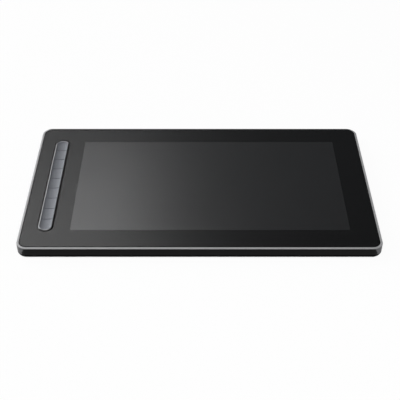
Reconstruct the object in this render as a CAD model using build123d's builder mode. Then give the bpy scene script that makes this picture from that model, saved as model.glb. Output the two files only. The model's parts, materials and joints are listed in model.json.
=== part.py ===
from build123d import *

import os
from math import sqrt

# A 13 inch pen display: a drawing tablet with its own screen, lying flat on four rubber feet.
# +X runs to the right of the person drawing, +Y away from them and +Z up.
# The origin is under the middle of the body, on the surface that the feet stand on.
# A bonded screen and glass hang in the deck of a frame with a rounded rim, and a shallow cover
# closes the back. Nine dished keys stand in one long slot on the left, inside a raised bead.
# The rear edge holds two sockets, a power button, a status light and two brightness buttons.

os.makedirs("parts", exist_ok=True)

# Lit area of a 13.3 inch screen whose sides are 16 to 9
view_width = 293.76
view_depth = 165.24

# Frame and back cover
foot_stand = 1.0
wall = 2.2
body_corner = 11.5
least_corner = 0.5
rim_width = 2.6
rim_round = 0.9
rim_drop = 1.2
rim_rollover = 0.35
parting_rise = 2.2
parting_turn = 0.25
cover_inset = 0.3
cover_edge_radius = 1.1
cover_floor = 1.4
lip_height = 0.8
lip_thickness = 1.1
lip_gap = 0.15
rib_height = 1.6
rib_thickness = 1.2
rib_margin = 8.0
ribs_across = 5
ribs_along = 3
right_room = 8.6
cut_over = 1.0

# Cover glass, its printed border, the tape under its edge and the deck below
glass_thickness = 0.8
glass_gap = 0.45
glass_bevel = 0.2
print_thickness = 0.1
print_inset = 0.2
tape_thickness = 0.3
tape_width = 4.6
tape_inset = 1.0
deck_thickness = 1.2

# Liquid crystal cell, from the front
adhesive_thickness = 0.2
polariser_thickness = 0.15
polariser_inset = 0.8
cell_glass_thickness = 0.35
cell_side = 2.6
cell_ledge = 6.85
cell_gap = 0.15

# Backlight
film_air = 0.1
film_inset = 1.5
film_gap = 0.1
diffuser_thickness = 0.2
prism_thickness = 0.15
prism_air = 0.03
guide_thickness = 1.0
guide_front = 2.6
reflector_thickness = 0.15
frame_side = 1.8
led_count = 42
led_length = 3.8
led_depth = 1.2
led_height = 0.85
led_gap = 0.1
led_room = 0.6
tray_thickness = 0.3
tray_gap = 0.1
tray_wall_drop = 0.25

# Pen sensor board, its shield and the plate that carries the stack
sensor_thickness = 0.5
sensor_inset = 1.4
shield_thickness = 0.22
shield_inset = 0.8
plate_thickness = 0.8
plate_corner = 2.2
plate_edge = 2.5
plate_wall_gap = 2.85
head_room = 1.5
window_gap = 0.6
zone_gap = 0.95

# Posts under the deck and the small screws that hold the plate and the boards to them
post_radius = 1.9
post_gap = 0.3
screw_radius = 0.9
screw_bite = 2.2
screw_head_radius = 1.75
screw_head_height = 1.1
screw_head_round = 0.3
screw_hole_gap = 0.25
pilot_gap = 0.05
pilot_over = 0.4
cross_width = 0.45
cross_reach = 2.2
cross_depth = 0.6

# Cover screws, hidden under the feet
cover_screw_inset = 8.875
cover_screw_pitch = 30.0
cover_screw_bite = 3.2
cover_post_radius = 2.4
cover_boss_radius = 3.3
cover_boss_height = 4.0
cover_boss_gap = 0.1
cover_seat_depth = 1.9
head_gap = 0.25

# Feet
foot_length = 47.0
foot_width = 10.6
foot_recess = 0.5
foot_gap = 0.1
foot_round = 0.35
foot_setback = 34.0

# Keys
key_count = 9
key_strip_forward = 0.75
key_split = 0.5
key_half_width = 6.2
key_gap = 0.2
key_rise = 0.35
key_dish = 0.7
key_edge = 0.15
key_flange = 1.0
key_flange_height = 0.8
key_rest_gap = 0.1
key_wall = 1.3
key_roof = 1.05
key_stem_radius = 1.6
key_travel = 0.35
pip_radius = 0.55
pip_rise = 0.22
pip_spread = 2.0

# Bead round the keys
bead_width = 1.5
bead_rise = 0.8
bead_slope = 1.2
bead_fall = 0.95
bead_round = 0.1
bead_skirt = 0.6
bead_flange = 2.3
bead_flange_height = 0.6
slot_gap = 0.9
deck_hole_gap = 0.4

# Key board and its snap domes
key_board_end = 4.0
key_post_edge = 2.0
key_post_gap = 0.5
dome_radius = 2.6
dome_thickness = 0.12
stem_air = 0.05

# Drive board of the panel, in front of the cell
flex_count = 4
flex_width = 34.0
flex_thickness = 0.1
flex_lap = 1.6
flex_run = 3.0
chip_length = 24.0
chip_width = 1.4
chip_height = 0.3
drive_board_end = 3.84
drive_board_depth = 8.6
drive_board_thickness = 0.8
shelf_reach = 2.2
shelf_thickness = 1.0

# Main board, along the rear edge
main_board_end = 18.0
main_board_depth = 12.95
main_board_thickness = 1.0
main_board_gap = 1.75
main_board_lip_gap = 0.25
main_board_head_gap = 0.2
board_post_inset = 9.0
board_post_gap = 1.13
board_post_edge = 3.2
board_chip_height = 1.0
# Each chip: its length as a share of the bay it stands in, and its depth as a share of the board's
board_chip_shares = ((0.37, 0.36), (0.68, 0.44), (0.53, 0.41), (0.35, 0.3))
board_chip_row_share = 0.34

# Sockets
socket_width = 8.94
socket_height = 3.16
socket_wall = 0.3
socket_length = 7.35
socket_back = 2.2
socket_recess = 0.6
socket_hole_gap = 0.45
socket_place = 16.5
socket_pitch = 24.0
tongue_width = 6.69
tongue_thickness = 0.7
tongue_setback = 0.8

# Buttons on the rear edge, their switches and the light
power_button_place = 20.0
power_button_length = 13.0
brightness_place = 26.5
brightness_pitch = 13.0
brightness_button_length = 8.0
button_height = 2.8
button_gap = 0.12
button_proud = 0.45
button_edge = 0.35
button_flange = 1.2
button_flange_depth = 1.0
button_play = 0.15
button_travel = 0.4
stem_radius = 0.9
stem_length = 1.2
switch_width = 4.6
switch_depth = 3.4
switch_height = 3.2
plunger_width = 2.4
plunger_height = 1.4
plunger_reach = 1.3
plunger_depth = 0.8
plunger_gap = 0.08
light_place = 10.5
light_radius = 0.8
light_gap = 0.06
light_length = 4.2
status_led_depth = 1.2
status_led_side = 0.3
status_led_gap = 0.2

# Flat cables and their connectors
cable_thickness = 0.3
cable_bend = 0.6
cable_lap = 1.6
cable_slot_gap = 1.0
connector_depth = 3.6
connector_side = 1.0
connector_height = 1.1
display_cable_width = 14.0
cable_pitch = 48.5
cable_post_gap = 15.7
sensor_cable_width = 16.0
sensor_cable_place = 33.5
sensor_cable_setback = 20.0
key_cable_width = 8.0
key_cable_side = 0.8
key_cable_lap = 3.0

# Heights, from the feet up through what the body holds to the glass
cover_inside = foot_stand + cover_floor
plate_bottom = cover_inside + rib_height + head_room + screw_head_height
plate_top = plate_bottom + plate_thickness
sensor_bottom = plate_top + shield_thickness
tray_bottom = sensor_bottom + sensor_thickness
reflector_bottom = tray_bottom + tray_thickness
guide_bottom = reflector_bottom + reflector_thickness
guide_top = guide_bottom + guide_thickness
prism_step = prism_thickness + prism_air
diffuser_bottom = guide_top + prism_step + prism_thickness
diffuser_top = diffuser_bottom + diffuser_thickness
rear_polariser_bottom = diffuser_top + film_air
array_bottom = rear_polariser_bottom + polariser_thickness
filter_bottom = array_bottom + cell_glass_thickness
front_polariser_bottom = filter_bottom + cell_glass_thickness
adhesive_bottom = front_polariser_bottom + polariser_thickness
print_bottom = adhesive_bottom + adhesive_thickness
glass_bottom = print_bottom + print_thickness
glass_top = glass_bottom + glass_thickness
deck_top = print_bottom - tape_thickness
deck_bottom = deck_top - deck_thickness
drive_board_bottom = filter_bottom - drive_board_thickness
parting = foot_stand + parting_rise
main_board_bottom = cover_inside + screw_head_height + main_board_head_gap
main_board_top = main_board_bottom + main_board_thickness
port_height = main_board_top + socket_height / 2
cable_level = plate_bottom - cable_thickness
cover_screw_seat = foot_stand + foot_recess + cover_seat_depth
cover_post_end = foot_stand + cover_boss_height + cover_boss_gap

# Reaches out from the lit area, first to the sides and the rear, then to the front
polariser_side = cell_side - polariser_inset
film_side = cell_side - film_inset
led_front = guide_front + led_gap + led_depth + led_room
backlight_side = cell_side + frame_side
backlight_front = cell_ledge + frame_side
module_side = backlight_side + tray_gap + tray_thickness
module_front = backlight_front + tray_gap + tray_thickness
window_side = module_side + window_gap
window_front = module_front + flex_run + drive_board_depth + window_gap
post_offset = post_radius + post_gap
plate_side = window_side + post_offset + plate_edge
plate_front = window_front + post_offset + plate_edge

# Reaches out from the keys
bead_reach = key_gap + bead_width
slot_reach = bead_reach + slot_gap
bead_flange_reach = bead_reach + bead_flange
deck_hole_reach = bead_flange_reach + deck_hole_gap
key_post_reach = key_half_width + deck_hole_reach + key_post_gap + post_radius
key_board_width = 2 * (key_post_reach + key_post_edge)

# Body and places in plan, as chains from the screen out to the walls
lip_inner = wall + lip_gap + lip_thickness
border_left = cover_screw_inset + cover_post_radius + zone_gap / 2 + key_board_width + zone_gap + plate_side
border_right = cover_screw_inset + cover_post_radius + right_room + zone_gap + plate_side
border_front = wall + plate_wall_gap + plate_front
border_rear = lip_inner + main_board_lip_gap + main_board_depth + zone_gap + plate_side
body_width = border_left + view_width + border_right
body_depth = border_front + view_depth + border_rear
view_left = border_left - body_width / 2
view_right = view_left + view_width
view_front = border_front - body_depth / 2
view_rear = view_front + view_depth
view_x = (view_left + view_right) / 2
view_y = (view_front + view_rear) / 2
rear_edge = body_depth / 2
glass_inset = rim_width + glass_gap

# The key strip is as long as the lit area, and lies a little in front of level with it
key_strip = view_depth
key_pitch = key_strip / key_count
key_board_left = cover_screw_inset + cover_post_radius + zone_gap / 2 - body_width / 2
key_board_right = key_board_left + key_board_width
key_x = (key_board_left + key_board_right) / 2
key_y = view_y - key_strip_forward
key_numbers = range(1, key_count + 1)
key_top = glass_top + key_rise
bead_bottom = print_bottom - bead_flange_height - bead_skirt
key_flange_top = bead_bottom - key_rest_gap
key_flange_bottom = key_flange_top - key_flange_height
key_roof_bottom = key_top - key_dish - key_roof
dome_height = key_travel
key_stem_bottom = plate_top + dome_height + stem_air
dish_radius = (key_half_width**2 + key_dish**2) / (2 * key_dish)
dish_axis_height = key_top - key_dish + dish_radius

# Main board and what stands on it, set out from its left end
main_board_left = key_board_right + main_board_gap
main_board_rear = rear_edge - lip_inner - main_board_lip_gap
main_board_front = main_board_rear - main_board_depth
left_socket_x = main_board_left + socket_place
right_socket_x = left_socket_x + socket_pitch
power_button_x = right_socket_x + power_button_place
light_x = power_button_x + light_place
brightness_up_x = power_button_x + brightness_place
brightness_down_x = brightness_up_x + brightness_pitch
main_board_right = brightness_down_x + main_board_end
sensor_cable_x = main_board_left + sensor_cable_place
display_cable_x = sensor_cable_x + cable_pitch
key_cable_y = (main_board_front + main_board_rear) / 2
socket_mouth = rear_edge - socket_recess
button_flange_face = rear_edge - wall - button_play
stem_start = button_flange_face - button_flange_depth
plunger_start = stem_start - stem_length
switch_face = plunger_start - plunger_reach
flex_pitch = view_width / flex_count
drive_board_width = (flex_count - 1) * flex_pitch + flex_width + 2 * drive_board_end
drive_board_rear = view_front - module_front - flex_run
drive_board_front = drive_board_rear - drive_board_depth
drive_board_y = (drive_board_front + drive_board_rear) / 2

# Screw places
front_post_y = view_front - window_front - post_offset
rear_post_y = view_rear + window_side + post_offset
left_post_x = view_left - window_side - post_offset
right_post_x = view_right + window_side + post_offset
inner_post_x = display_cable_x + display_cable_width / 2 + cable_post_gap
row_post_x = (left_post_x, inner_post_x, (inner_post_x + right_post_x) / 2, right_post_x)
side_posts = [(x, (front_post_y + rear_post_y) / 2) for x in (left_post_x, right_post_x)]
plate_posts = [(x, y) for x in row_post_x for y in (front_post_y, rear_post_y)] + side_posts
key_post_x = (key_x - key_post_reach, key_x + key_post_reach)
key_post_y = [key_y + row * key_strip / 3 for row in (-1, 0, 1)]
key_posts = [(x, y) for x in key_post_x for y in key_post_y]
board_left_post_x = left_socket_x - socket_width / 2 - board_post_gap - post_radius
board_right_post_x = main_board_right - board_post_inset
board_middle_x = (sensor_cable_x + display_cable_x) / 2
board_row_y = (main_board_front + board_post_edge, main_board_rear - board_post_edge)
board_end_posts = [(x, y) for x in (board_left_post_x, board_right_post_x) for y in board_row_y]
board_posts = board_end_posts + [(board_middle_x, board_row_y[0])]
foot_x = body_width / 2 - cover_screw_inset
foot_y = body_depth / 2 - foot_setback
foot_places = {
    "front_left_foot": (-foot_x, -foot_y),
    "front_right_foot": (foot_x, -foot_y),
    "rear_left_foot": (-foot_x, foot_y),
    "rear_right_foot": (foot_x, foot_y),
}
cover_posts = [(x, y + side * cover_screw_pitch / 2) for x, y in foot_places.values() for side in (-1, 1)]


def save(piece, name):
    """Labels a finished piece and writes it under its own name."""
    piece.part.label = name
    export_step(piece.part, f"parts/{name}.step")


def outline(inset, mode=Mode.ADD):
    """Draws the body's outline, drawn in by inset, with its round corners."""
    corner = max(body_corner - inset, least_corner)
    RectangleRounded(body_width - 2 * inset, body_depth - 2 * inset, corner, mode=mode)


def panel(left, front, right, rear, mode=Mode.ADD):
    """Draws a rectangle between its four edges."""
    with Locations(((left + right) / 2, (front + rear) / 2)):
        Rectangle(right - left, rear - front, mode=mode)


def around(side, front, mode=Mode.ADD):
    """Draws the lit area, let out by front at the front and by side on the other three edges."""
    panel(view_left - side, view_front - front, view_right + side, view_rear + side, mode=mode)


def key_slot(reach, mode=Mode.ADD):
    """Draws the outline of the whole key strip, let out by reach all round."""
    with Locations((key_x, key_y)):
        SlotOverall(key_strip + 2 * reach, 2 * (key_half_width + reach), rotation=90, mode=mode)


def circles(places, radius, mode=Mode.ADD):
    """Draws a circle at each place."""
    with Locations(*places):
        Circle(radius, mode=mode)


def rear_plane(y):
    """A plane at depth y, seen from the front: X to the right, Z up, and forwards is out of it."""
    return Plane(origin=(0, y, 0), x_dir=(1, 0, 0), z_dir=(0, -1, 0))


def side_plane(x):
    """A plane at x whose own axes are Y and Z, and +X is out of it."""
    return Plane(origin=(x, 0, 0), x_dir=(0, 1, 0), z_dir=(1, 0, 0))


def layer(name, side, front, bottom, top):
    """Makes and writes one flat layer of the screen."""
    with BuildPart() as sheet:
        with BuildSketch(Plane.XY.offset(bottom)):
            around(side, front)
        extrude(amount=top - bottom)
    save(sheet, name)


# Cover glass, with a bevel on its edge and on the edge of the key slot
with BuildPart() as cover_glass:
    with BuildSketch(Plane.XY.offset(glass_bottom)):
        outline(glass_inset)
        key_slot(slot_reach, mode=Mode.SUBTRACT)
    extrude(amount=glass_thickness)
    chamfer(cover_glass.faces().sort_by(Axis.Z)[-1].edges(), length=glass_bevel)
save(cover_glass, "cover_glass")

# Dark border printed under the glass, open over the lit area
with BuildPart() as border_print:
    with BuildSketch(Plane.XY.offset(print_bottom)):
        outline(glass_inset + print_inset)
        around(0, 0, mode=Mode.SUBTRACT)
        key_slot(slot_reach + print_inset, mode=Mode.SUBTRACT)
    extrude(amount=print_thickness)
save(border_print, "border_print")

# Tape ring that holds the glass to the deck
with BuildPart() as glass_tape:
    with BuildSketch(Plane.XY.offset(deck_top)):
        outline(glass_inset + tape_inset)
        outline(glass_inset + tape_inset + tape_width, mode=Mode.SUBTRACT)
    extrude(amount=tape_thickness)
save(glass_tape, "glass_tape")

# Frame: a rim that rolls down into the outer wall, and a deck that carries glass, screen and boards
with BuildPart() as mid_frame:
    # The run starts in the middle of the front edge and goes round to the right
    corner_x = body_width / 2 - body_corner
    corner_y = body_depth / 2 - body_corner
    with BuildLine() as edge_run:
        Line((0, -body_depth / 2), (corner_x, -body_depth / 2))
        CenterArc((corner_x, -corner_y), body_corner, -90, 90)
        Line((body_width / 2, -corner_y), (body_width / 2, corner_y))
        CenterArc((corner_x, corner_y), body_corner, 0, 90)
        Line((corner_x, body_depth / 2), (-corner_x, body_depth / 2))
        CenterArc((-corner_x, corner_y), body_corner, 90, 90)
        Line((-body_width / 2, corner_y), (-body_width / 2, -corner_y))
        CenterArc((-corner_x, -corner_y), body_corner, 180, 90)
        Line((-corner_x, -body_depth / 2), (0, -body_depth / 2))
    # Section of the wall: inwards is the plane's x, up is its y
    rim_crown = rim_width - rim_rollover
    widest = glass_top - rim_drop
    with BuildSketch(Plane(origin=(0, -body_depth / 2, 0), x_dir=(0, 1, 0), z_dir=(1, 0, 0))):
        with BuildLine():
            TangentArc((0, widest), (parting_turn, parting), tangent=(0, -1))
            Polyline(
                (parting_turn, parting),
                (wall, parting),
                (wall, deck_bottom),
                (rim_width, deck_bottom),
                (rim_width, glass_top - rim_rollover),
            )
            CenterArc((rim_crown, glass_top - rim_rollover), rim_rollover, 0, 90)
            Line((rim_crown, glass_top), (rim_round, glass_top))
            EllipticalCenterArc((rim_round, widest), rim_round, rim_drop, start_angle=90, arc_size=90)
        make_face()
    sweep(path=edge_run.wires()[0])
    with BuildSketch(Plane.XY.offset(deck_bottom)):
        outline(wall)
        around(window_side, window_front, mode=Mode.SUBTRACT)
        key_slot(deck_hole_reach, mode=Mode.SUBTRACT)
    extrude(amount=deck_thickness)
    # Shelf under the front edge of the drive board
    window_edge = view_front - window_front
    shelf_left = view_x - drive_board_width / 2
    shelf_right = view_x + drive_board_width / 2
    with BuildSketch(Plane.XY.offset(drive_board_bottom - shelf_thickness)):
        panel(shelf_left, window_edge - shelf_reach, shelf_right, window_edge + window_gap + shelf_reach)
    extrude(amount=shelf_thickness)
    with BuildSketch(Plane.XY.offset(drive_board_bottom - shelf_thickness)):
        panel(shelf_left, window_edge - shelf_reach, shelf_right, window_edge)
    extrude(amount=deck_top - drive_board_bottom + shelf_thickness)
    # Posts, each from what it carries up to the deck, and a pilot hole up each
    for places, post_end, radius, bite in (
        (plate_posts + key_posts, plate_top, post_radius, screw_bite),
        (board_posts, main_board_top, post_radius, screw_bite),
        (cover_posts, cover_post_end, cover_post_radius, cover_screw_bite),
    ):
        with BuildSketch(Plane.XY.offset(post_end)):
            circles(places, radius)
        extrude(amount=deck_top - post_end)
        with BuildSketch(Plane.XY.offset(post_end)):
            circles(places, screw_radius + pilot_gap)
        extrude(amount=bite + pilot_over, mode=Mode.SUBTRACT)
    # Openings through the rear wall
    with BuildSketch(rear_plane(rear_edge + cut_over)):
        with Locations((left_socket_x, port_height), (right_socket_x, port_height)):
            SlotOverall(socket_width + 2 * socket_hole_gap, socket_height + 2 * socket_hole_gap)
        with Locations((power_button_x, port_height)):
            SlotOverall(power_button_length + 2 * button_gap, button_height + 2 * button_gap)
        with Locations((brightness_up_x, port_height), (brightness_down_x, port_height)):
            SlotOverall(brightness_button_length + 2 * button_gap, button_height + 2 * button_gap)
        with Locations((light_x, port_height)):
            Circle(light_radius + light_gap)
    extrude(amount=cut_over + wall + cut_over, mode=Mode.SUBTRACT)
save(mid_frame, "mid_frame")

# Back cover: a shallow dish whose lip stands inside the frame's wall
with BuildPart() as back_cover:
    with BuildSketch(Plane.XY.offset(foot_stand)):
        outline(cover_inset)
    extrude(amount=parting_rise)
    fillet(back_cover.faces().sort_by(Axis.Z)[0].edges(), radius=cover_edge_radius)
    with BuildSketch(Plane.XY.offset(cover_inside)):
        outline(lip_inner)
    extrude(amount=parting - cover_inside, mode=Mode.SUBTRACT)
    with BuildSketch(Plane.XY.offset(cover_inside)):
        outline(wall + lip_gap)
        outline(lip_inner, mode=Mode.SUBTRACT)
    extrude(amount=parting + lip_height - cover_inside)
    # Ribs under the plate
    rib_run_x = view_width + 2 * plate_side - 2 * rib_margin
    rib_run_y = view_depth + plate_front + plate_side - 2 * rib_margin
    rib_centre_y = (view_front - plate_front + view_rear + plate_side) / 2
    with BuildSketch(Plane.XY.offset(cover_inside)):
        with Locations((view_x, rib_centre_y)):
            with GridLocations(rib_run_x / ribs_across, rib_run_y, ribs_across, 1):
                Rectangle(rib_thickness, rib_run_y)
            with GridLocations(rib_run_x, rib_run_y / ribs_along, 1, ribs_along):
                Rectangle(rib_run_x, rib_thickness)
    extrude(amount=rib_height)
    # Screw bosses, foot recesses, head seats and screw holes
    with BuildSketch(Plane.XY.offset(cover_inside)):
        circles(cover_posts, cover_boss_radius)
    extrude(amount=cover_boss_height - cover_floor)
    with BuildSketch(Plane.XY.offset(foot_stand)):
        with Locations(*foot_places.values()):
            SlotOverall(foot_length + 2 * foot_gap, foot_width + 2 * foot_gap, rotation=90)
    extrude(amount=foot_recess, mode=Mode.SUBTRACT)
    with BuildSketch(Plane.XY.offset(foot_stand)):
        circles(cover_posts, screw_head_radius + head_gap)
    extrude(amount=cover_screw_seat - foot_stand, mode=Mode.SUBTRACT)
    with BuildSketch(Plane.XY.offset(foot_stand)):
        circles(cover_posts, screw_radius + screw_hole_gap)
    extrude(amount=cover_boss_height + cut_over, mode=Mode.SUBTRACT)
save(back_cover, "back_cover")

# Rubber feet, each over two of the cover screws
for foot_name, foot_place in foot_places.items():
    with BuildPart() as foot:
        with BuildSketch():
            with Locations(foot_place):
                SlotOverall(foot_length, foot_width, rotation=90)
        extrude(amount=foot_stand + foot_recess)
        fillet(foot.faces().sort_by(Axis.Z)[0].edges(), radius=foot_round)
    save(foot, foot_name)


def screws(name, groups):
    """Makes like screws, heads down against their seat and shafts up through it."""
    with BuildPart() as screw_set:
        for places, seat, length in groups:
            with BuildSketch(Plane.XY.offset(seat - screw_head_height)):
                circles(places, screw_head_radius)
            extrude(amount=screw_head_height)
            with BuildSketch(Plane.XY.offset(seat)):
                circles(places, screw_radius)
            extrude(amount=length)
            with BuildSketch(Plane.XY.offset(seat - screw_head_height)):
                with Locations(*places):
                    Rectangle(cross_reach, cross_width)
                    Rectangle(cross_width, cross_reach)
            extrude(amount=cross_depth, mode=Mode.SUBTRACT)
        round_edges = screw_set.edges().filter_by(GeomType.CIRCLE)
        head_rims = round_edges.filter_by(lambda edge: edge.radius > screw_radius)
        fillet(head_rims.group_by(Axis.Z)[0], radius=screw_head_round)
    save(screw_set, name)


cover_screw_length = cover_post_end - cover_screw_seat + cover_screw_bite
screws("cover_screws", [(cover_posts, cover_screw_seat, cover_screw_length)])
plate_group = (plate_posts + key_posts, plate_bottom, plate_thickness + screw_bite)
board_group = (board_posts, main_board_bottom, main_board_thickness + screw_bite)
screws("inner_screws", [plate_group, board_group])

# Screen: adhesive that fills the print's window, then the cell
with BuildPart() as optical_adhesive:
    with BuildSketch(Plane.XY.offset(adhesive_bottom)):
        around(cell_side, cell_side)
    extrude(amount=adhesive_thickness)
    with BuildSketch(Plane.XY.offset(print_bottom)):
        around(0, 0)
    extrude(amount=print_thickness)
save(optical_adhesive, "optical_adhesive")
layer("front_polariser", polariser_side, polariser_side, front_polariser_bottom, adhesive_bottom)
layer("colour_filter_glass", cell_side, cell_side, filter_bottom, front_polariser_bottom)
layer("array_glass", cell_side, cell_ledge, array_bottom, filter_bottom)
layer("rear_polariser", polariser_side, polariser_side, rear_polariser_bottom, array_bottom)

# Backlight films, light guide and reflector
layer("diffuser_film", film_side, film_side, diffuser_bottom, diffuser_top)
with BuildPart() as prism_films:
    for prism_count in range(2):
        with BuildSketch(Plane.XY.offset(guide_top + prism_count * prism_step)):
            around(film_side, film_side)
        extrude(amount=prism_thickness)
save(prism_films, "prism_films")
layer("light_guide", film_side, guide_front, guide_bottom, guide_top)
layer("reflector_sheet", film_side, guide_front, reflector_bottom, guide_bottom)

# Plastic frame round the backlight, with a shelf under the edge of the cell
with BuildPart() as backlight_frame:
    with BuildSketch(Plane.XY.offset(reflector_bottom)):
        around(backlight_side, backlight_front)
        around(film_side + film_gap, led_front, mode=Mode.SUBTRACT)
    extrude(amount=filter_bottom - reflector_bottom)
    with BuildSketch(Plane.XY.offset(rear_polariser_bottom)):
        around(cell_side + cell_gap, cell_ledge + cell_gap)
    extrude(amount=filter_bottom - rear_polariser_bottom, mode=Mode.SUBTRACT)
save(backlight_frame, "backlight_frame")

# Metal tray that holds the backlight
with BuildPart() as backlight_tray:
    with BuildSketch(Plane.XY.offset(tray_bottom)):
        around(module_side, module_front)
    extrude(amount=filter_bottom - tray_wall_drop - tray_bottom)
    with BuildSketch(Plane.XY.offset(reflector_bottom)):
        around(backlight_side + tray_gap, backlight_front + tray_gap)
    extrude(amount=filter_bottom - reflector_bottom, mode=Mode.SUBTRACT)
save(backlight_tray, "backlight_tray")

# LED strip on the tray's floor, in front of the light guide, and its row of LEDs
led_rear = view_front - guide_front - led_gap
with BuildPart() as led_strip:
    with BuildSketch(Plane.XY.offset(reflector_bottom)):
        panel(view_left - film_side, view_front - led_front + film_gap, view_right + film_side, led_rear)
    extrude(amount=reflector_thickness)
save(led_strip, "led_strip")

with BuildPart() as backlight_leds:
    with BuildSketch(Plane.XY.offset(guide_bottom)):
        with Locations((view_x, led_rear - led_depth / 2)):
            with GridLocations(view_width / led_count, led_depth, led_count, 1):
                Rectangle(led_length, led_depth)
    extrude(amount=led_height)
save(backlight_leds, "backlight_leds")

# Driver chips on the ledge of the array glass, and the flexes from there to the drive board
flex_rear = view_front - cell_ledge + flex_lap
chip_y = (flex_rear + view_front - cell_side) / 2
with BuildPart() as driver_chips:
    with BuildSketch(Plane.XY.offset(filter_bottom)):
        with Locations((view_x, chip_y)):
            with GridLocations(flex_pitch, chip_width, flex_count, 1):
                Rectangle(chip_length, chip_width)
    extrude(amount=chip_height)
save(driver_chips, "driver_chips")

with BuildPart() as panel_flexes:
    flex_front = drive_board_rear - flex_lap
    with BuildSketch(Plane.XY.offset(filter_bottom)):
        with Locations((view_x, (flex_front + flex_rear) / 2)):
            with GridLocations(flex_pitch, flex_width, flex_count, 1):
                Rectangle(flex_width, flex_rear - flex_front)
    extrude(amount=flex_thickness)
save(panel_flexes, "panel_flexes")

# Drive board, with the connector for its cable underneath
with BuildPart() as panel_drive_board:
    with BuildSketch(Plane.XY.offset(drive_board_bottom)):
        with Locations((view_x, drive_board_y)):
            Rectangle(drive_board_width, drive_board_depth)
    extrude(amount=drive_board_thickness)
    with BuildSketch(Plane.XY.offset(drive_board_bottom)):
        with Locations((display_cable_x, drive_board_y)):
            Rectangle(display_cable_width + 2 * connector_side, connector_depth)
    extrude(amount=-connector_height)
save(panel_drive_board, "panel_drive_board")

# Pen sensor board and its shield, both behind the tray
display_cable_y = drive_board_y - cable_thickness / 2
sensor_cable_y = view_rear - sensor_cable_setback


def cable_slot(x, front, width):
    """Draws the slot that a cable's bend passes through."""
    rear = front + cable_thickness + cable_bend
    reach = width / 2 + cable_slot_gap
    panel(x - reach, front - cable_slot_gap, x + reach, rear + cable_slot_gap, mode=Mode.SUBTRACT)


sensor_side = module_side - sensor_inset
shield_side = module_side - shield_inset
layer("pen_sensor_board", sensor_side, sensor_side, sensor_bottom, tray_bottom)

with BuildPart() as sensor_shield:
    with BuildSketch(Plane.XY.offset(plate_top)):
        around(shield_side, shield_side)
        cable_slot(sensor_cable_x, sensor_cable_y, sensor_cable_width)
    extrude(amount=shield_thickness)
save(sensor_shield, "sensor_shield")

# Plate that closes the stack from behind, screwed to the posts round it
with BuildPart() as support_plate:
    with BuildSketch(Plane.XY.offset(plate_bottom)) as plate_sketch:
        around(plate_side, plate_front)
        fillet(plate_sketch.vertices(), radius=plate_corner)
        circles(plate_posts, screw_radius + screw_hole_gap, mode=Mode.SUBTRACT)
        cable_slot(sensor_cable_x, sensor_cable_y, sensor_cable_width)
        cable_slot(display_cable_x, display_cable_y, display_cable_width)
    extrude(amount=plate_thickness)
save(support_plate, "support_plate")


def flat_cable(name, x, front, top, width):
    """Makes a flat cable that drops from a board, turns under the plate and ends on the main board."""
    end = main_board_front + cable_lap
    with BuildPart() as cable:
        with BuildSketch(side_plane(x - width / 2)):
            with BuildLine():
                inner_front = front + cable_thickness
                outer = [(front, top), (front, cable_level), (end, cable_level)]
                inner = [(inner_front, top), (inner_front, plate_bottom), (end, plate_bottom)]
                FilletPolyline(*outer, radius=cable_bend + cable_thickness)
                FilletPolyline(*inner, radius=cable_bend)
                Line(outer[0], inner[0])
                Line(outer[-1], inner[-1])
            make_face()
        extrude(amount=width)
    save(cable, name)


connector_top = drive_board_bottom - connector_height
flat_cable("display_cable", display_cable_x, display_cable_y, connector_top, display_cable_width)
flat_cable("sensor_cable", sensor_cable_x, sensor_cable_y, sensor_bottom, sensor_cable_width)

# Key board, its domes and its cable
with BuildPart() as key_board:
    board_front = key_y - key_strip / 2 - key_board_end
    board_rear = key_cable_y + key_cable_width / 2 + key_cable_side
    with BuildSketch(Plane.XY.offset(plate_bottom)):
        panel(key_board_left, board_front, key_board_right, board_rear)
        circles(key_posts, screw_radius + screw_hole_gap, mode=Mode.SUBTRACT)
    extrude(amount=plate_thickness)
save(key_board, "key_board")


def key_middle(number):
    """The middle of a key along the strip: key 1 is the rear one."""
    return key_y + key_strip / 2 - (number - 1 / 2) * key_pitch


dome_ball = (dome_radius**2 + dome_height**2) / (2 * dome_height)
with BuildPart() as key_dome:
    with Locations((0, 0, dome_height - dome_ball)):
        Sphere(dome_ball)
        Sphere(dome_ball - dome_thickness, mode=Mode.SUBTRACT)
    split(bisect_by=Plane.XY)

with BuildPart() as key_domes:
    with Locations(*[(key_x, key_middle(number), plate_top) for number in key_numbers]):
        add(key_dome.part)
save(key_domes, "key_domes")

with BuildPart() as key_cable:
    with BuildSketch(Plane.XY.offset(cable_level)):
        cable_front = key_cable_y - key_cable_width / 2
        cable_start = key_board_right - key_cable_lap
        panel(cable_start, cable_front, main_board_left + cable_lap, cable_front + key_cable_width)
    extrude(amount=cable_thickness)
save(key_cable, "key_cable")

# Bead that frames the keys: it slopes up to a narrow crest beside them, and has a flange bonded
# under the glass
with BuildPart() as key_surround:
    with BuildSketch(Plane.XY.offset(bead_bottom)):
        key_slot(bead_reach)
        key_slot(key_gap, mode=Mode.SUBTRACT)
    extrude(amount=glass_top + bead_rise - bead_bottom)
    crest = key_surround.faces().sort_by(Axis.Z)[-1]
    chamfer(crest.outer_wire().edges(), length=bead_slope, length2=bead_fall, reference=crest)
    fillet(key_surround.faces().sort_by(Axis.Z)[-1].edges(), radius=bead_round)
    with BuildSketch(Plane.XY.offset(print_bottom - bead_flange_height)):
        key_slot(bead_flange_reach)
        key_slot(key_gap + bead_width / 2, mode=Mode.SUBTRACT)
    extrude(amount=bead_flange_height)
save(key_surround, "key_surround")

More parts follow.
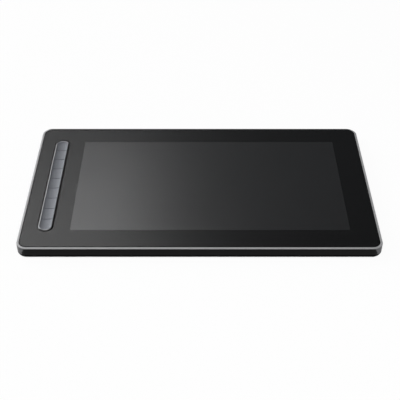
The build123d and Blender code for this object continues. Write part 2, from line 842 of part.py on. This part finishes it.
# Raised dots that tell the keys apart by touch, as steps across and along each key
pip_steps = {
    2: ((0, 0),),
    3: ((-1, -1), (1, 1)),
    4: ((-1, -1), (-1, 1), (1, 1)),
    6: ((-1, -1), (-1, 1), (1, 1)),
    7: ((-1, -1), (1, 1)),
    8: ((0, 0),),
}
pip_ball = (pip_radius**2 + pip_rise**2) / (2 * pip_rise)


def key_part(number, reach, drawn_in=0):
    """Draws one key's stretch of the strip, let out by reach and drawn in from its neighbours."""
    key_slot(reach)
    half = key_pitch / 2 - key_split / 2 - drawn_in
    rear = key_middle(number) + (key_pitch if number == 1 else half)
    front = key_middle(number) - (key_pitch if number == key_count else half)
    side = key_half_width + key_flange + cut_over
    panel(key_x - side, front, key_x + side, rear, mode=Mode.INTERSECT)


# Keys: dished caps on short walls, with a flange that the bead keeps in and a stem over the dome
for number in key_numbers:
    with BuildPart() as key:
        with BuildSketch(Plane.XY.offset(key_flange_bottom)):
            key_part(number, 0)
        extrude(amount=key_top + cut_over - key_flange_bottom)
        with BuildSketch(Plane.XZ.offset(-body_depth)):
            with Locations((key_x, dish_axis_height)):
                Circle(dish_radius)
        extrude(amount=2 * body_depth, mode=Mode.SUBTRACT)
        dish = key.faces().filter_by(GeomType.CYLINDER).sort_by(SortBy.AREA)[-1]
        fillet(dish.edges(), radius=key_edge)
        with BuildSketch(Plane.XY.offset(key_flange_bottom)):
            key_part(number, key_flange)
        extrude(amount=key_flange_height)
        with BuildSketch(Plane.XY.offset(key_flange_bottom)):
            key_part(number, -key_wall, key_wall)
        extrude(amount=key_roof_bottom - key_flange_bottom, mode=Mode.SUBTRACT)
        with BuildSketch(Plane.XY.offset(key_stem_bottom)):
            with Locations((key_x, key_middle(number))):
                Circle(key_stem_radius)
        extrude(amount=key_roof_bottom + key_roof / 2 - key_stem_bottom)
        for step_x, step_y in pip_steps.get(number, ()):
            pip_x = step_x * pip_spread
            pip_y = key_middle(number) + step_y * pip_spread
            pip_base = dish_axis_height - sqrt(dish_radius**2 - pip_x**2)
            with Locations((key_x + pip_x, pip_y, pip_base + pip_rise - pip_ball)):
                Sphere(pip_ball)
    save(key, f"key_{number}")

# Main board, hung from its posts with the sockets, switches and light on top
with BuildPart() as main_board:
    with BuildSketch(Plane.XY.offset(main_board_bottom)):
        panel(main_board_left, main_board_front, main_board_right, main_board_rear)
        circles(board_posts, screw_radius + screw_hole_gap, mode=Mode.SUBTRACT)
    extrude(amount=main_board_thickness)
save(main_board, "main_board")

# One chip stands in each bay between the front row's posts and connectors
with BuildPart() as board_chips:
    chip_row = main_board_front + board_chip_row_share * main_board_depth
    bay_edges = []
    for middle, reach in (
        (board_left_post_x, post_radius),
        (sensor_cable_x, sensor_cable_width / 2 + connector_side),
        (board_middle_x, post_radius),
        (display_cable_x, display_cable_width / 2 + connector_side),
        (board_right_post_x, post_radius),
    ):
        bay_edges += [middle - reach, middle + reach]
    bays = zip(bay_edges[1::2], bay_edges[2::2])
    for (bay_left, bay_right), (length_share, depth_share) in zip(bays, board_chip_shares):
        with BuildSketch(Plane.XY.offset(main_board_top)):
            with Locations(((bay_left + bay_right) / 2, chip_row)):
                Rectangle(length_share * (bay_right - bay_left), depth_share * main_board_depth)
        extrude(amount=board_chip_height)
save(board_chips, "board_chips")

# Connectors on the main board, each just under its cable
with BuildPart() as board_connectors:
    row_y = main_board_front + connector_depth / 2
    with BuildSketch(Plane.XY.offset(main_board_top)):
        with Locations((display_cable_x, row_y)):
            Rectangle(display_cable_width + 2 * connector_side, connector_depth)
        with Locations((sensor_cable_x, row_y)):
            Rectangle(sensor_cable_width + 2 * connector_side, connector_depth)
        with Locations((main_board_left + connector_depth / 2, key_cable_y)):
            Rectangle(connector_depth, key_cable_width + 2 * connector_side)
    extrude(amount=cable_level - main_board_top)
save(board_connectors, "board_connectors")

# Sockets: folded metal shells with a closed back
for socket_name, socket_x in (("usb_socket_left", left_socket_x), ("usb_socket_right", right_socket_x)):
    with BuildPart() as socket:
        with BuildSketch(rear_plane(socket_mouth)):
            with Locations((socket_x, port_height)):
                SlotOverall(socket_width, socket_height)
        extrude(amount=socket_length)
        with BuildSketch(rear_plane(socket_mouth)):
            with Locations((socket_x, port_height)):
                SlotOverall(socket_width - 2 * socket_wall, socket_height - 2 * socket_wall)
        extrude(amount=socket_length - socket_back, mode=Mode.SUBTRACT)
    save(socket, socket_name)

with BuildPart() as usb_tongues:
    with BuildSketch(rear_plane(socket_mouth - tongue_setback)):
        with Locations((left_socket_x, port_height), (right_socket_x, port_height)):
            Rectangle(tongue_width, tongue_thickness)
    extrude(amount=socket_length - socket_back - tongue_setback)
save(usb_tongues, "usb_tongues")


def side_button(name, x, length):
    """Makes a button in the rear wall: its face, a flange inside the wall and a stem to the switch."""
    with BuildPart() as button:
        with BuildSketch(rear_plane(rear_edge + button_proud)):
            with Locations((x, port_height)):
                SlotOverall(length, button_height)
        extrude(amount=rear_edge + button_proud - button_flange_face)
        fillet(button.faces().sort_by(Axis.Y)[-1].edges(), radius=button_edge)
        with BuildSketch(rear_plane(button_flange_face)):
            with Locations((x, port_height)):
                SlotOverall(length + 2 * button_flange, button_height)
        extrude(amount=button_flange_depth)
        with BuildSketch(rear_plane(stem_start)):
            with Locations((x, port_height)):
                Circle(stem_radius)
        extrude(amount=stem_length)
    save(button, f"{name}_button")


def switch_plunger(name, x):
    """Makes the plunger that a button's stem pushes into its switch."""
    with BuildPart() as plunger:
        with BuildSketch(rear_plane(plunger_start)):
            with Locations((x, port_height)):
                Rectangle(plunger_width, plunger_height)
        extrude(amount=plunger_reach + plunger_depth)
    save(plunger, f"{name}_plunger")


buttons = (
    ("power", power_button_x, power_button_length),
    ("brightness_up", brightness_up_x, brightness_button_length),
    ("brightness_down", brightness_down_x, brightness_button_length),
)
for button_name, button_x, button_length in buttons:
    side_button(button_name, button_x, button_length)
    switch_plunger(button_name, button_x)

with BuildPart() as side_switch_bodies:
    switch_places = [(button_x, port_height) for _, button_x, _ in buttons]
    switch_middle = main_board_top + switch_height / 2
    with BuildSketch(rear_plane(switch_face)):
        with Locations(*[(button_x, switch_middle) for _, button_x, _ in buttons]):
            Rectangle(switch_width, switch_height)
    extrude(amount=switch_depth)
    with BuildSketch(rear_plane(switch_face)):
        with Locations(*switch_places):
            Rectangle(plunger_width + 2 * plunger_gap, plunger_height + 2 * plunger_gap)
    extrude(amount=plunger_depth + button_travel + plunger_gap, mode=Mode.SUBTRACT)
save(side_switch_bodies, "side_switch_bodies")

# Clear rod through the wall, and the light behind it
with BuildPart() as light_pipe:
    with BuildSketch(rear_plane(rear_edge)):
        with Locations((light_x, port_height)):
            Circle(light_radius)
    extrude(amount=light_length)
save(light_pipe, "light_pipe")

with BuildPart() as status_led:
    led_top = port_height + light_radius
    with BuildSketch(rear_plane(rear_edge - light_length - status_led_gap)):
        with Locations((light_x, (main_board_top + led_top) / 2)):
            Rectangle(2 * (light_radius + status_led_side), led_top - main_board_top)
    extrude(amount=status_led_depth)
save(status_led, "status_led")
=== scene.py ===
import json
from math import cos, pi, sin

import bmesh
import bpy
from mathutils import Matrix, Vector


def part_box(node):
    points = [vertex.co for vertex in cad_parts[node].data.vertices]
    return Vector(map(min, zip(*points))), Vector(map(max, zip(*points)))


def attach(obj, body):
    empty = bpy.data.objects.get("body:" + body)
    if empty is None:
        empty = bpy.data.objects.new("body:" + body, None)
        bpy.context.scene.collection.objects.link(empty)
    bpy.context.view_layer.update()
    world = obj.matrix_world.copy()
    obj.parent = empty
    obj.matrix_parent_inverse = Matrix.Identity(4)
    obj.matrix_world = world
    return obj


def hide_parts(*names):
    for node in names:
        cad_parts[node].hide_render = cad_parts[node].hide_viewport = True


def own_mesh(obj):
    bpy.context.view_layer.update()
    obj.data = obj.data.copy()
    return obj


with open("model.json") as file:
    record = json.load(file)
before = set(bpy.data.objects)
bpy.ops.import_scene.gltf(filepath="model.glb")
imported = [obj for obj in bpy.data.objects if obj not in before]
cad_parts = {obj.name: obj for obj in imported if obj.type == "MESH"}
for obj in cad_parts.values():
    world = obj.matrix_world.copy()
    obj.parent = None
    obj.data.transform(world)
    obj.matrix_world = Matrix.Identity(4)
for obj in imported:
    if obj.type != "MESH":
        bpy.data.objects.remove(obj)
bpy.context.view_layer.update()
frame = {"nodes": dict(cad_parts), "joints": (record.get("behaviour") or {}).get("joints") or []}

# A 13 inch pen display on a white studio floor: etched glass over a dark screen, a satin rim,
# and nine dished keys inside a raised bead. Lengths are in metres, and MM turns millimetres into them.
MM = 0.001
nodes = frame["nodes"]
body = "tablet"
_, glass_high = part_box("cover_glass")
rim_low, rim_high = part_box("mid_frame")
_, bead_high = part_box("key_surround")


class Signal:
    """One output of a shader node. Arithmetic on it adds the Math nodes that work it out."""

    def __init__(self, finish, socket):
        self.finish = finish
        self.socket = socket

    def math(self, operation, first, second=0.0):
        return self.finish.add("ShaderNodeMath", {"operation": operation}, {0: first, 1: second})

    def __add__(self, other):
        return self.math("ADD", self, other)

    def __sub__(self, other):
        return self.math("SUBTRACT", self, other)

    def __rsub__(self, other):
        return self.math("SUBTRACT", other, self)

    def __mul__(self, other):
        return self.math("MULTIPLY", self, other)

    def __abs__(self):
        return self.math("ABSOLUTE", self)

    __radd__ = __add__
    __rmul__ = __mul__


class Finish:
    """The nodes of a material or of the sky, with the few steps that the finishes here share."""

    def __init__(self, owner):
        owner.use_nodes = True
        self.owner = owner
        self.tree = owner.node_tree
        self.tree.nodes.clear()

    def add(self, kind, settings=None, sockets=None, out=0):
        """Adds a node: its settings first, then a value or a link for each socket named. It gives the
        output called for, or a list where several are, or nothing for a node that has none."""
        node = self.tree.nodes.new(kind)
        for name, value in (settings or {}).items():
            setattr(node, name, value)
        for name, value in (sockets or {}).items():
            if isinstance(value, Signal):
                self.tree.links.new(value.socket, node.inputs[name])
            else:
                node.inputs[name].default_value = value
        if isinstance(out, tuple):
            return [Signal(self, node.outputs[name]) for name in out]
        return Signal(self, node.outputs[out]) if node.outputs else None

    def place(self):
        return self.add("ShaderNodeTexCoord", out="Object")

    def axes(self, vector):
        """The X, Y and Z parts of a vector."""
        return self.add("ShaderNodeSeparateXYZ", {}, {0: vector}, out=("X", "Y", "Z"))

    def facing(self):
        """The X, Y and Z parts of the surface's own normal."""
        return self.axes(self.add("ShaderNodeNewGeometry", out="Normal"))

    def vector(self, operation, first, second=(0.0, 0.0, 0.0), out=0):
        """A vector worked out from two others."""
        return self.add("ShaderNodeVectorMath", {"operation": operation}, {0: first, 1: second}, out)

    def beyond(self, half_width, half_depth, corner):
        """How far a place is outside a round-cornered rectangle about the origin; 0 or less inside it."""
        reach = self.vector("ABSOLUTE", self.vector("MULTIPLY", self.place(), (1.0, 1.0, 0.0)))
        past = self.vector("SUBTRACT", reach, (half_width - corner, half_depth - corner, 0.0))
        return self.vector("LENGTH", self.vector("MAXIMUM", past), out="Value") - corner

    def most(self, first, second):
        """The larger of two values."""
        return first.math("MAXIMUM", first, second)

    def stretched(self, scale):
        """The place, scaled by its own factor along each axis."""
        return self.add("ShaderNodeMapping", {}, {"Vector": self.place(), "Scale": scale})

    def grain(self, size, detail=2.0, vector=None):
        """Noise from 0 to 1 whose features are about this size across."""
        sockets = {"Vector": vector or self.place(), "Scale": 1 / size, "Detail": detail}
        return self.add("ShaderNodeTexNoise", {}, sockets)

    def rise(self, value, low, high):
        """0 below low, 1 above high and a smooth step between them."""
        sockets = {"Value": value, "From Min": low, "From Max": high}
        return self.add("ShaderNodeMapRange", {"interpolation_type": "SMOOTHSTEP"}, sockets)

    def blend(self, factor, first, second):
        """A colour between two colours. Sockets 6, 7 and 2 are the Mix node's colours."""
        return self.add("ShaderNodeMix", {"data_type": "RGBA"}, {0: factor, 6: first, 7: second}, out=2)

    def bump(self, height, depth, strength=1.0):
        """A bumped normal, where a height of 1 stands this depth proud."""
        return self.add("ShaderNodeBump", {}, {"Height": height, "Distance": depth, "Strength": strength})

    def principled(self, **sockets):
        """A Principled shader; socket names are written with underscores."""
        named = {name.replace("_", " "): value for name, value in sockets.items()}
        return self.add("ShaderNodeBsdfPrincipled", {}, named)

    def mix(self, factor, first, second):
        """One shader over another, by factor."""
        return self.add("ShaderNodeMixShader", {}, {0: factor, 1: first, 2: second})

    def shown(self, shader, output="ShaderNodeOutputMaterial"):
        """Wires the shader to the output and gives what the nodes belong to."""
        self.add(output, {}, {"Surface": shader})
        return self.owner


def finish(name):
    """A new material to be made."""
    return Finish(bpy.data.materials.new(name))


def grey(level, blue=0.0):
    """A linear grey, a little bluer by the given share."""
    return (level, level, level * (1 + blue), 1.0)


def darker(colour, shade):
    """A colour made darker by the given share."""
    return tuple(part * (1 - shade) for part in colour[:3]) + (1.0,)


def etched_glass():
    """Low-glare cover glass: a blurred mirror at its Fresnel share, clear for the rest, and a black edge
    that is painted shade for the seam round the glass."""
    look = finish("etched_glass")
    frost = look.grain(0.09 * MM, detail=1.0)
    haze = look.grain(60 * MM)
    gloss = look.principled(
        Base_Color=grey(1.0),
        Metallic=1.0,
        Roughness=0.30 + 0.03 * haze,
        Normal=look.bump(frost, 0.0006 * MM, 0.5),
    )
    clear = look.add("ShaderNodeBsdfTransparent", {}, {"Color": grey(0.985)})
    front = 1 - look.add("ShaderNodeNewGeometry", out="Backfacing")
    share = look.add("ShaderNodeFresnel", {}, {"IOR": 1.5})
    face = look.mix(share * front, clear, gloss)
    painted_edge_shade = look.principled(
        Base_Color=look.blend(frost, grey(0.003), grey(0.006)),
        Roughness=0.7 + 0.1 * frost,
        Specular_IOR_Level=0.15,
    )
    # Faces that face neither up nor down are black: painted shade in the seam between glass and rim
    _, _, up = look.facing()
    return look.shown(look.mix(1 - look.rise(abs(up), 0.85, 0.97), face, painted_edge_shade))


def border_ink():
    """Black ink on the back of the glass."""
    look = finish("border_ink")
    mottle = look.grain(4 * MM, detail=3.0)
    return look.shown(look.principled(
        Base_Color=look.blend(mottle, grey(0.0018), grey(0.0024)),
        Roughness=0.32 + 0.04 * mottle,
        Specular_IOR_Level=0.0,
        Normal=look.bump(look.grain(0.3 * MM), 0.0008 * MM, 0.3),
    ))


def screen_film():
    """Dark polariser, faintly cooler and glossier than the ink round it."""
    look = finish("screen_film")
    mottle = look.grain(9 * MM, detail=3.0)
    return look.shown(look.principled(
        Base_Color=look.blend(mottle, grey(0.0018, 0.1), grey(0.0026, 0.1)),
        Roughness=0.28 + 0.03 * mottle,
        Specular_IOR_Level=0.5,
        Normal=look.bump(look.grain(0.25 * MM), 0.0008 * MM, 0.3),
    ))


def frame_paint_and_light():
    """Satin silver on the rim and corners that darkens down the wall, painted light and shade by which
    way it faces. The front wall below the rim's round edge, the rear wall and the wall that faces the
    glass are black painted shade, and the rear's top is dark metal, painted shade too. The front's
    black has round ends."""
    look = finish("frame_paint_and_light")
    glass_gap, glass_corner, extra_depth = 0.45 * MM, 9.1 * MM, 0.35 * MM
    rim_line, softness, end_drop = glass_high.z - 0.9 * MM, 0.1 * MM, 4.5 * MM
    _, facing_y, up = look.facing()
    _, y, z = look.axes(look.place())
    flake = look.grain(0.12 * MM)
    # The silver is lighter where the surface faces up and darker down the wall: painted light and shade
    silver = look.blend(look.rise(up, 0.0, 0.7), grey(0.13, 0.03), grey(0.4, 0.01))
    rounding = end_drop * (1 - look.rise(-1 * facing_y, 0.9, 0.995))
    below_rim = 1 - look.rise(z + rounding, rim_line - softness, rim_line + softness)
    # Black on the front wall below the rim's round edge, with round ends: painted shade
    front = look.rise(-1 * facing_y, 0.86, 0.92) * below_rim
    # Black on the rear wall and the rear's top: painted shade
    rear = look.rise(y, glass_high.y, glass_high.y + glass_gap)
    # Black on the wall that faces the glass: painted shade in the gap round the glass
    recess_x, recess_y = glass_high.x + glass_gap, glass_high.y + glass_gap + extra_depth
    outside_glass = look.beyond(recess_x, recess_y, glass_corner)
    inner = 1 - look.rise(outside_glass, softness, 2 * softness)
    black = look.most(front, look.most(rear, inner))
    # The rear's top is dark metal rather than black: painted shade as well
    rear_top_shade = rear * look.rise(up, 0.2, 0.5)
    dark = look.blend(rear_top_shade, grey(0.0035, 0.05), grey(0.045, 0.05))
    mottled = look.blend(0.12 * flake, look.blend(black, silver, dark), grey(0.0))
    return look.shown(look.principled(
        Base_Color=mottled,
        Metallic=0.2 - 0.2 * black + rear_top_shade,
        Roughness=0.36 + 0.08 * flake,
        Specular_IOR_Level=0.08,
        Normal=look.bump(flake, 0.003 * MM, 0.25),
    ))


def moulded(name, colour, roughness, size=0.5, depth=0.01, shade=0.2, **sockets):
    """A plain moulded, sprayed or etched surface with an even fine grain, whose size and depth are in
    millimetres."""
    look = finish(name)
    grain = look.grain(size * MM, detail=3.0)
    cloud = look.grain(40 * size * MM)
    return look.shown(look.principled(
        Base_Color=look.blend(0.5 * grain + 0.5 * cloud, darker(colour, shade), colour),
        Roughness=roughness - 0.05 + 0.1 * grain,
        Normal=look.bump(grain, depth * MM, 0.5),
        **sockets,
    ))


def brushed(name, colour, roughness, across=(1.0, 0.04, 1.0)):
    """Rolled or brushed metal, its lines drawn out along one axis."""
    look = finish(name)
    lines = look.grain(0.15 * MM, detail=3.0, vector=look.stretched(across))
    return look.shown(look.principled(
        Base_Color=look.blend(lines, darker(colour, 0.28), colour),
        Metallic=1.0,
        Roughness=roughness + 0.1 * lines,
        Normal=look.bump(lines, 0.004 * MM, 0.4),
    ))


def board_mask(name, mask, copper):
    """Solder mask over copper tracks, which stand a little proud and show lighter."""
    look = finish(name)
    pitch = 3.2 * MM
    cells = look.add(
        "ShaderNodeTexVoronoi",
        {"distance": "CHEBYCHEV", "feature": "DISTANCE_TO_EDGE"},
        {"Vector": look.place(), "Scale": 1 / pitch},
    )
    track = 1 - look.rise(cells, 0.05, 0.09)
    speck = look.grain(0.4 * MM)
    return look.shown(look.principled(
        Base_Color=look.blend(track, mask, copper),
        Roughness=0.3 + 0.12 * speck,
        Normal=look.bump(track + 0.2 * speck, 0.035 * MM, 0.6),
    ))


def clear_film(name, colour, roughness, see_through):
    """A thin clear or milky layer."""
    look = finish(name)
    ripple = look.grain(2.5 * MM)
    solid = look.principled(
        Base_Color=colour,
        Roughness=roughness + 0.05 * ripple,
        Normal=look.bump(ripple, 0.004 * MM, 0.3),
    )
    clear = look.add("ShaderNodeBsdfTransparent", {}, {"Color": grey(0.97)})
    return look.shown(look.mix((1 - see_through) * (0.5 + ripple), clear, solid))


def key_paint_and_shade():
    """Satin metallic grey, a little blue, with a fine flake; the walls between the keys are black, painted
    shade in the gaps.
    """
    look = finish("key_paint_and_shade")
    flake = look.grain(0.1 * MM)
    cloud = look.grain(7 * MM)
    _, _, up = look.facing()
    # Off the tops the walls are black: painted shade in the gaps between the keys
    top = look.rise(up, 0.3, 0.6)
    paint = look.blend(0.5 * flake + 0.5 * cloud, (0.145, 0.152, 0.169, 1.0), (0.172, 0.18, 0.197, 1.0))
    return look.shown(look.principled(
        Base_Color=look.blend(top, grey(0.006), paint),
        Metallic=0.65 * top,
        Roughness=0.42 + 0.06 * flake,
        Normal=look.bump(flake, 0.003 * MM, 0.3),
    ))


def bead_paint_and_light():
    """Satin metal on the bead's slopes, and black on its right side and on what lies below them: painted
    shade. Round the rear key, the inner wall and the left slope are a light silver: a painted highlight."""
    look = finish("bead_paint_and_light")
    flake = look.grain(0.1 * MM)
    bead_foot, softness = glass_high.z + 0.25 * MM, 0.05 * MM
    front_lift, fade = 0.2 * MM, 4 * MM
    flange, width, round_end = 2.3 * MM, 1.5 * MM, 8.2 * MM
    right_crest = bead_high.x - flange - width
    rear_arc = bead_high.y - flange - round_end
    x, y, z = look.axes(look.place())
    facing_x, facing_y, up = look.facing()
    left = 1 - look.rise(x, right_crest - softness, right_crest + softness)
    above_foot = z - front_lift * look.rise(-1 * facing_y, 0.1, 0.6)
    slope = look.rise(above_foot, bead_foot - softness, bead_foot + softness) * left
    rear_half = look.rise(y, 0.0, MM)
    # The light silver round the rear key, on its inner wall and left slope, is a painted highlight
    rear_wall = look.rise(-1 * facing_y, 0.2, 0.6) * (1 - look.rise(up, 0.2, 0.5)) * rear_half
    rear_slope = slope * (1 - look.rise(facing_x, -0.25, 0.0)) * look.rise(y, rear_arc, rear_arc + fade)
    silver = look.most(rear_wall, rear_slope)
    metal = look.blend(flake, (0.21, 0.214, 0.222, 1.0), (0.255, 0.26, 0.27, 1.0))
    # Black on the right side and below the slopes: painted shade
    painted = look.blend(slope, grey(0.004), metal)
    return look.shown(look.principled(
        Base_Color=look.blend(silver, painted, grey(0.5, 0.05)),
        Metallic=slope * (1 - silver),
        Roughness=0.3 + 0.05 * flake,
        Normal=look.bump(flake, 0.003 * MM, 0.3),
    ))


# The finish of each material slot of the record
finishes = {
    "cover_glass": etched_glass(),
    "border_ink": border_ink(),
    "tape": moulded("foam_tape", grey(0.02), roughness=0.85, size=0.4, depth=0.03),
    "frame": frame_paint_and_light(),
    "back_cover": moulded(
        "cover_plastic",
        grey(0.005),
        roughness=0.7,
        size=0.55,
        depth=0.02,
        shade=0.25,
        Specular_IOR_Level=0.0,
    ),
    "feet": moulded("foot_rubber", grey(0.018), roughness=0.8, size=0.35, depth=0.02, shade=0.3),
    "screws": brushed("screw_steel", grey(0.09), roughness=0.38),
    "adhesive": clear_film("clear_gel", grey(0.8), roughness=0.1, see_through=0.99),
    "polariser": screen_film(),
    "cell_glass": clear_film("cell_glass", (0.6, 0.68, 0.66, 1.0), roughness=0.08, see_through=0.7),
    "film": clear_film("milky_film", grey(0.85), roughness=0.6, see_through=0.15),
    "light_guide": clear_film("guide_acrylic", (0.82, 0.88, 0.88, 1.0), roughness=0.1, see_through=0.7),
    "reflector": moulded("reflector_film", grey(0.9), roughness=0.3, size=0.8, depth=0.004, shade=0.04),
    "backlight_frame": moulded("frame_moulding", grey(0.82), roughness=0.45, shade=0.06),
    "tray": brushed("tray_steel", grey(0.55), roughness=0.3),
    "flex": moulded("flex_film", (0.42, 0.19, 0.035, 1.0), roughness=0.35, depth=0.004),
    "led": moulded("led_package", (0.85, 0.74, 0.3, 1.0), roughness=0.35, size=0.3, depth=0.004),
    "chip": moulded("chip_epoxy", grey(0.016), roughness=0.55, size=0.15, depth=0.008),
    "connector": moulded("connector_moulding", grey(0.03), roughness=0.42, size=0.2, depth=0.006),
    "board": board_mask("board_mask", (0.006, 0.05, 0.022, 1.0), (0.016, 0.11, 0.05, 1.0)),
    "sensor_board": board_mask("sensor_mask", (0.007, 0.02, 0.06, 1.0), (0.02, 0.05, 0.13, 1.0)),
    "shield": brushed("shield_foil", (0.5, 0.5, 0.48, 1.0), roughness=0.4),
    "support_plate": brushed("plate_aluminium", grey(0.62), roughness=0.35, across=(0.04, 1.0, 1.0)),
    "cable": moulded("cable_film", grey(0.6), roughness=0.4, size=1.0, depth=0.004, shade=0.15),
    "dome": brushed("dome_steel", (0.6, 0.57, 0.5, 1.0), roughness=0.2),
    "bead": bead_paint_and_light(),
    "keys": key_paint_and_shade(),
    "socket_shell": brushed("socket_steel", grey(0.58), roughness=0.22, across=(0.05, 1.0, 1.0)),
    "buttons": moulded("button_plastic", grey(0.02), roughness=0.4, size=0.2, depth=0.006),
    "plunger": moulded("plunger_plastic", grey(0.3), roughness=0.5, size=0.2, depth=0.006),
    "light_pipe": clear_film("pipe_acrylic", grey(0.75), roughness=0.12, see_through=0.35),
}
# Each node comes with a material that has its slot's name
for node in nodes.values():
    slot = node.material_slots[0]
    slot.material = finishes[slot.material.name]


def placed(name, data):
    """A new object in the scene for a mesh, a lamp or a camera."""
    thing = bpy.data.objects.new(name, data)
    bpy.context.scene.collection.objects.link(thing)
    return thing


def piece(name, mesh, material):
    """A new object in the scene from an edited mesh and one material."""
    data = bpy.data.meshes.new(name)
    mesh.to_mesh(data)
    mesh.free()
    data.materials.append(material)
    return placed(name, data)


gold = brushed("contact_gold", (0.9, 0.62, 0.2, 1.0), roughness=0.25)


def contact_rows(name, socket):
    """The twelve gold contacts on each face of a socket's tongue."""
    count, pitch, width, length, thickness = 12, 0.5 * MM, 0.26 * MM, 3.2 * MM, 0.04 * MM
    setback, rounding = 0.5 * MM, 0.6 * thickness
    low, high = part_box(socket)
    tongue_low, tongue_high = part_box("usb_tongues")
    middle = (low.x + high.x) / 2
    y = tongue_high.y - setback - length / 2
    mesh = bmesh.new()
    for place in range(count):
        x = middle + (place - (count - 1) / 2) * pitch
        for z, out in ((tongue_high.z, 1), (tongue_low.z, -1)):
            made = bmesh.ops.create_cube(mesh, size=1.0)["verts"]
            bmesh.ops.scale(mesh, vec=(width, length, 2 * thickness), verts=made)
            bmesh.ops.translate(mesh, vec=(x, y, z), verts=made)
            outer = [vert for vert in made if (vert.co.z - z) * out > 0]
            # The four edges round the outer face, each once
            edges = dict.fromkeys(
                edge for vert in outer for edge in vert.link_edges if edge.other_vert(vert) in outer
            )
            bmesh.ops.bevel(mesh, geom=list(edges), offset=rounding, segments=2, affect="EDGES")
    row = piece(name, mesh, gold)
    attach(row, body)


def snap_domes():
    """The snap domes as nine pieces, each the part that lies under its own key."""
    for joint in frame["joints"]:
        key = joint["child"]
        if not key.startswith("key_"):
            continue
        key_low, key_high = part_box(key)
        mesh = bmesh.new()
        mesh.from_mesh(nodes["key_domes"].data)
        others = [vert for vert in mesh.verts if not key_low.y < vert.co.y < key_high.y]
        bmesh.ops.delete(mesh, geom=others, context="VERTS")
        dome = piece(f"{key}_dome", mesh, finishes["dome"])
        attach(dome, body)
        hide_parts("key_domes")
        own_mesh(dome)


contact_rows("usb_contacts_left", "usb_socket_left")
contact_rows("usb_contacts_right", "usb_socket_right")
snap_domes()


def floor_paper():
    """White paper that keeps some of the object's shadow. Under the body it gives no light of its own,
    so the gap below the cover stays dark."""
    look = finish("floor_paper")
    shadowless, under, corner, softness = 0.93, 1.2 * MM, 11.5 * MM, 0.2 * MM
    rays = ("Is Camera Ray", "Is Glossy Ray", "Is Transmission Ray")
    camera, glossy, through = look.add("ShaderNodeLightPath", out=rays)
    tooth = 0.5 + 0.1 * look.grain(2 * MM)
    paper = look.add("ShaderNodeBsdfDiffuse", {}, {"Color": grey(0.95), "Roughness": tooth})
    white = look.add("ShaderNodeEmission", {}, {"Color": grey(1.0), "Strength": 1.0})
    off_body = look.beyond(rim_high.x - under, -rim_low.y - under, corner - under)
    open_floor = look.rise(off_body, -softness, softness)
    seen = camera + glossy + through
    return look.shown(look.mix(shadowless * open_floor * seen, paper, white))


def studio_floor():
    """A round white floor that turns up into a low kerb."""
    hub, radius, bend, wall_top, turns, steps = 0.05, 2.6, 0.3, 0.35, 96, 12
    profile = [(hub, 0.0), (radius - bend, 0.0)]
    for step in range(1, steps + 1):
        angle = step / steps * pi / 2
        profile.append((radius - bend + bend * sin(angle), bend - bend * cos(angle)))
    profile.append((radius, wall_top))
    angles = [2 * pi * turn / turns for turn in range(turns)]
    mesh = bmesh.new()
    rings = []
    for reach, height in profile:
        ring = [(reach * cos(angle), reach * sin(angle), height) for angle in angles]
        rings.append([mesh.verts.new(place) for place in ring])
    mesh.faces.new(rings[0])
    for inner, outer in zip(rings, rings[1:]):
        for turn in range(turns):
            after = (turn + 1) % turns
            mesh.faces.new((inner[turn], outer[turn], outer[after], inner[after]))
    floor = piece("studio_floor", mesh, floor_paper())
    floor.data.shade_smooth()


def softbox(name, place, aim, width, height, brightness):
    """A rectangular lamp that faces a point; brightness is its radiance."""
    lamp = bpy.data.lights.new(name, "AREA")
    lamp.shape = "RECTANGLE"
    lamp.size = width
    lamp.size_y = height
    lamp.energy = brightness * pi * width * height
    holder = placed(name, lamp)
    holder.location = place
    holder.rotation_euler = (Vector(aim) - Vector(place)).to_track_quat("-Z", "Y").to_euler()


studio_floor()
# Each softbox's place, the point that it faces, its width and height in metres, and its radiance
softbox("overhead_softbox", (0.0, -0.9, 1.5), (0.0, 0.0, 0.0), 1.9, 1.5, 2.1)
softbox("left_softbox", (-1.03, 1.23, 1.95), (0.0, 0.0, 1.95), 2.08, 1.3, 2.5)
softbox("low_left_softbox", (-1.34, 1.125, 0.62), (0.0, 0.0, 0.62), 1.9, 1.0, 2.0)
softbox("side_softbox", (-1.7, 0.0, 0.8), (0.0, 0.0, 0.0), 1.8, 1.2, 1.35)
softbox("strip_softbox", (-0.98, 1.05, 0.68), (-0.16, 0.0, 0.0), 0.35, 0.5, 5.6)
softbox("right_softbox", (1.5, -0.2, 0.9), (0.0, 0.0, 0.0), 0.7, 0.8, 1.0)


def studio_sky():
    """A dim sky that the lens sees as white."""
    look = Finish(bpy.data.worlds.new("studio_sky"))
    seen = look.add("ShaderNodeLightPath", out="Is Camera Ray")
    colour = look.blend(seen, (0.066, 0.07, 0.077, 1.0), grey(1.0))
    light = look.add("ShaderNodeBackground", {}, {"Color": colour})
    return look.shown(light, "ShaderNodeOutputWorld")


bpy.context.scene.world = studio_sky()

# The photograph's view: above and in front of the object, looking down along +Y
camera_place = Vector((0.45, -822.68, 619.75)) * MM
camera_aim = Vector((0.45, -29.75, 11.8)) * MM
camera = placed("camera", bpy.data.cameras.new("camera"))
camera.data.sensor_width = 36.0
camera.data.lens = 82.4
camera.data.clip_start = 0.01
camera.data.clip_end = 20.0
camera.location = camera_place
camera.rotation_euler = (camera_aim - camera_place).to_track_quat("-Z", "Y").to_euler()
bpy.context.scene.camera = camera
bpy.context.scene.view_settings.view_transform = "Standard"
